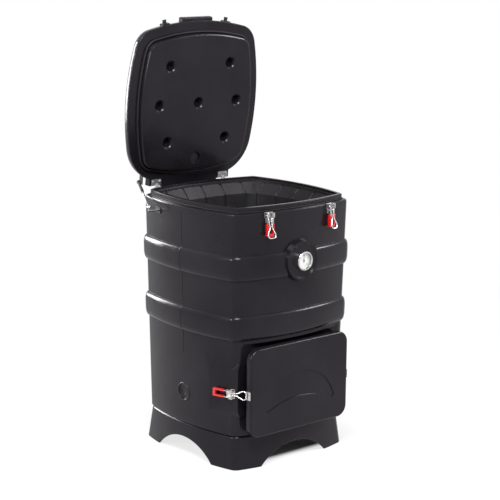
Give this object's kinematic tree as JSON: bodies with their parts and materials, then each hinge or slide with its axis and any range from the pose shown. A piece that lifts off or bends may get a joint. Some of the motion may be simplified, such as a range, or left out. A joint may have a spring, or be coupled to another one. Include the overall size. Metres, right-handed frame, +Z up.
{
  "type": "compost bin with lid",
  "caption": "Square-bodied insulated bin with bowed walls, a hinged lid held by a strut, toggle latches, a low front door, a dial gauge and an arched plinth.",
  "frame": {"origin": "middle of the floor under the plinth", "axes": "+Z up, -Y towards the front with the door and gauge, lid hinge at +Y; the lid stands open at rest"},
  "size_m": [0.6456, 0.7088, 1.5445],
  "materials": {
    "shell_black": "moulded, fine orange peel grain, satin",
    "liner_black": "moulded, satin",
    "foam": "rigid foam filling, sealed in",
    "rubber_black": "soft seal, matt",
    "plug_black": "smooth, satin",
    "steel": "dark zinc, worn at the edges",
    "bracket_black": "black painted steel, worn at the edges",
    "latch_steel": "stamped stainless steel",
    "wire_chrome": "bright wire",
    "fastener_steel": "zinc plated",
    "grip_red": "dipped soft plastic, red",
    "gauge_metal": "stainless steel",
    "dial_white": "white printed dial",
    "pointer_black": "black lacquer",
    "gauge_glass": "clear flat glass",
    "rod_steel": "polished rod",
    "tube_black": "black lacquered tube"
  },
  "bodies": {
    "bin": {"base_plinth": "shell_black", "body_shell": "shell_black", "inner_liner": "liner_black", "body_insulation": "foam", "door_throat": "shell_black", "rim_seal": "rubber_black", "body_filler_plug": "plug_black", "hinge_body_leaf_left": "steel", "hinge_pin_left": "steel", "hinge_body_leaf_right": "steel", "hinge_pin_right": "steel", "hinge_body_bolts": "fastener_steel", "front_latch_left_base": "latch_steel", "door_latch_left_base": "latch_steel", "front_latch_right_base": "latch_steel", "door_latch_right_base": "latch_steel", "latch_rivets": "fastener_steel", "latch_screws": "fastener_steel", "gauge_case": "gauge_metal", "gauge_dial": "dial_white", "gauge_glass": "gauge_glass", "gauge_bezel": "gauge_metal", "gauge_stem": "gauge_metal", "stay_body_bracket": "bracket_black", "stay_ball_stud": "steel"},
    "lid": {"lid_shell": "shell_black", "lid_insulation": "foam", "lid_seal": "rubber_black", "lid_filler_plug": "plug_black", "hinge_lid_leaf_left": "steel", "hinge_lid_leaf_right": "steel", "hinge_lid_bolts": "fastener_steel", "lid_strike_left": "bracket_black", "lid_strike_right": "bracket_black", "stay_lid_bracket": "bracket_black"},
    "door": {"door_shell": "shell_black", "door_insulation": "foam", "door_seal": "rubber_black", "door_strike_left": "latch_steel", "door_strike_right": "latch_steel"},
    "stay_rod_body": {"stay_rod": "rod_steel"},
    "stay_tube_body": {"stay_tube": "tube_black"},
    "pointer": {"gauge_pointer": "pointer_black"},
    "front_latch_left_lever_body": {"front_latch_left_lever": "latch_steel", "front_latch_left_grip": "grip_red"},
    "front_latch_left_bail_body": {"front_latch_left_bail": "wire_chrome"},
    "door_latch_left_lever_body": {"door_latch_left_lever": "latch_steel", "door_latch_left_grip": "grip_red"},
    "door_latch_left_bail_body": {"door_latch_left_bail": "wire_chrome"},
    "front_latch_right_lever_body": {"front_latch_right_lever": "latch_steel", "front_latch_right_grip": "grip_red"},
    "front_latch_right_bail_body": {"front_latch_right_bail": "wire_chrome"},
    "door_latch_right_lever_body": {"door_latch_right_lever": "latch_steel", "door_latch_right_grip": "grip_red"},
    "door_latch_right_bail_body": {"door_latch_right_bail": "wire_chrome"}
  },
  "joints": [
    {"name": "lid_hinge", "type": "hinge", "parent": "bin", "child": "lid", "pos_m": [0, 0.312, 0.918], "axis": [1, 0, 0], "range_deg": [0, 84.5]},
    {"name": "stay_swing", "type": "hinge", "parent": "bin", "child": "stay_rod_body", "pos_m": [-0.32928, 0.141, 0.892], "axis": [0.6609, -0.1549, -0.7343], "range_deg": [0, 10.55]},
    {"name": "stay_stroke", "type": "slide", "parent": "stay_rod_body", "child": "stay_tube_body", "axis": [-0.4458, -0.8682, -0.2181], "range_m": [0, 0.04476]},
    {"name": "door_pull", "type": "slide", "parent": "bin", "child": "door", "axis": [0, -1, 0], "range_m": [0, 0.06]},
    {"name": "pointer_turn", "type": "hinge", "parent": "bin", "child": "pointer", "pos_m": [0, -0.317, 0.733], "axis": [0, 1, 0], "range_deg": [-120, 120], "stiffness_Nm_per_rad": 0.002},
    {"name": "front_latch_left_lever_turn", "type": "hinge", "parent": "bin", "child": "front_latch_left_lever_body", "pos_m": [-0.1439, -0.30065, 0.908], "axis": [-0.9874, 0.158, 0], "range_deg": [0, 150]},
    {"name": "front_latch_left_bail_turn", "type": "hinge", "parent": "front_latch_left_lever_body", "child": "front_latch_left_bail_body", "pos_m": [-0.1439, -0.30065, 0.896], "axis": [0.9874, -0.158, 0], "range_deg": [-165, 0]},
    {"name": "door_latch_left_lever_turn", "type": "hinge", "parent": "bin", "child": "door_latch_left_lever_body", "pos_m": [-0.26632, -0.24522, 0.28], "axis": [0, 0, 1], "range_deg": [0, 150]},
    {"name": "door_latch_left_bail_turn", "type": "hinge", "parent": "door_latch_left_lever_body", "child": "door_latch_left_bail_body", "pos_m": [-0.26963, -0.23369, 0.28], "axis": [0, 0, -1], "range_deg": [0, 179.32]},
    {"name": "front_latch_right_lever_turn", "type": "hinge", "parent": "bin", "child": "front_latch_right_lever_body", "pos_m": [0.1439, -0.30065, 0.908], "axis": [-0.9874, -0.158, 0], "range_deg": [0, 150]},
    {"name": "front_latch_right_bail_turn", "type": "hinge", "parent": "front_latch_right_lever_body", "child": "front_latch_right_bail_body", "pos_m": [0.1439, -0.30065, 0.896], "axis": [0.9874, 0.158, 0], "range_deg": [-165, 0]},
    {"name": "door_latch_right_lever_turn", "type": "hinge", "parent": "bin", "child": "door_latch_right_lever_body", "pos_m": [0.26632, -0.24522, 0.28], "axis": [0, 0, -1], "range_deg": [0, 150]},
    {"name": "door_latch_right_bail_turn", "type": "hinge", "parent": "door_latch_right_lever_body", "child": "door_latch_right_bail_body", "pos_m": [0.26963, -0.23369, 0.28], "axis": [0, 0, 1], "range_deg": [0, 179.32]}
  ],
  "couplings": [
    {"joint": "stay_swing", "follows": "lid_hinge", "ratio": 0.1249},
    {"joint": "stay_stroke", "follows": "lid_hinge", "m_per_rad": 0.030352},
    {"joint": "door_latch_left_lever_turn", "follows": "door_pull", "rad_per_m": 43.633},
    {"joint": "door_latch_left_bail_turn", "follows": "door_pull", "rad_per_m": 52.162},
    {"joint": "door_latch_right_lever_turn", "follows": "door_pull", "rad_per_m": 43.633},
    {"joint": "door_latch_right_bail_turn", "follows": "door_pull", "rad_per_m": 52.162}
  ]
}
